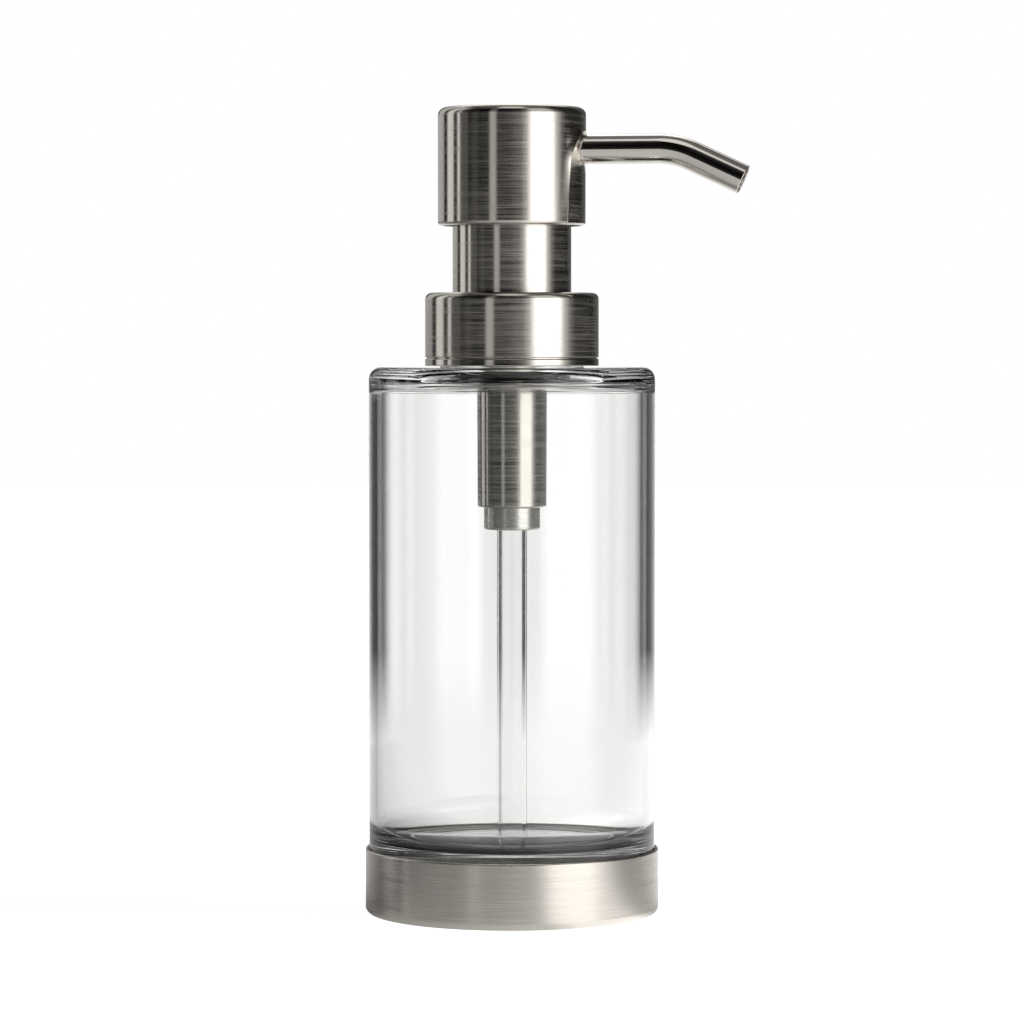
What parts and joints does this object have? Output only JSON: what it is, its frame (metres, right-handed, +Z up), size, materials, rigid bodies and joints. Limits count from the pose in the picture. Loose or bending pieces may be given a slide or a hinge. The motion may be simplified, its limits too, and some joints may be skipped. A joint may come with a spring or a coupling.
{
  "type": "soap pump dispenser",
  "caption": "Cylindrical clear glass soap bottle in a steel base, closed by a screw-on steel lotion pump with a push-down swivelling head and a bent spout.",
  "frame": {"origin": "on the bottle's axis, in the plane the foot pad stands on", "axes": "+Z up the bottle's axis; +X the way the spout points at rest"},
  "size_m": [0.0957, 0.073, 0.2002],
  "materials": {
    "clear_glass": "polished, clear",
    "brushed_steel": "brushed round the axis",
    "satin_steel": "satin polished",
    "bright_steel": "polished",
    "clear_plastic": "clear polyethylene",
    "white_plastic": "moulded polypropylene",
    "black_plastic": "moulded, fine texture",
    "silicone": "matte",
    "foam": "closed-cell foam"
  },
  "bodies": {
    "bottle": {"foot_pad": "silicone", "base_shell": "brushed_steel", "base_core": "black_plastic", "seat_pad": "foam", "bottle": "clear_glass"},
    "pump": {"gasket": "foam", "neck_sleeve": "brushed_steel", "stem_guide": "white_plastic", "stem_seal": "silicone", "pump_cylinder": "brushed_steel", "foot_valve": "satin_steel", "dip_tube": "clear_plastic", "ball_cage": "white_plastic", "return_spring": "bright_steel"},
    "collar": {"closure_insert": "black_plastic", "collar_shell": "brushed_steel", "collar_ring": "brushed_steel"},
    "piston": {"piston": "white_plastic"},
    "head": {"stem_foot": "white_plastic", "stem": "white_plastic", "head_shell": "brushed_steel", "spout_saddle": "brushed_steel", "actuator_core": "black_plastic", "spout_seal": "silicone", "spout": "satin_steel"},
    "suction_ball": {"suction_ball": "bright_steel"},
    "discharge_ball": {"discharge_ball": "bright_steel"}
  },
  "joints": [
    {"name": "closure_lift", "type": "slide", "parent": "bottle", "child": "pump", "axis": [0, 0, 1], "range_m": [0, 0.00445]},
    {"name": "collar_turn", "type": "hinge", "parent": "pump", "child": "collar", "pos_m": [0, 0, 0.1454], "axis": [0, 0, 1], "range_deg": [0, 375]},
    {"name": "head_press", "type": "slide", "parent": "pump", "child": "piston", "axis": [0, 0, -1], "range_m": [0, 0.013], "stiffness_N_per_m": 600, "springref_m": -0.008, "deforming": ["return_spring"]},
    {"name": "head_swivel", "type": "hinge", "parent": "piston", "child": "head", "pos_m": [0, 0, 0.1856], "axis": [0, 0, 1], "continuous": true},
    {"name": "suction_ball_lift", "type": "slide", "parent": "pump", "child": "suction_ball", "axis": [0, 0, 1], "range_m": [0, 0.0014]},
    {"name": "discharge_ball_lift", "type": "slide", "parent": "head", "child": "discharge_ball", "axis": [0, 0, 1], "range_m": [0, 0.0012]}
  ],
  "couplings": [
    {"joint": "closure_lift", "follows": "collar_turn", "m_per_rad": 0.0006737}
  ]
}
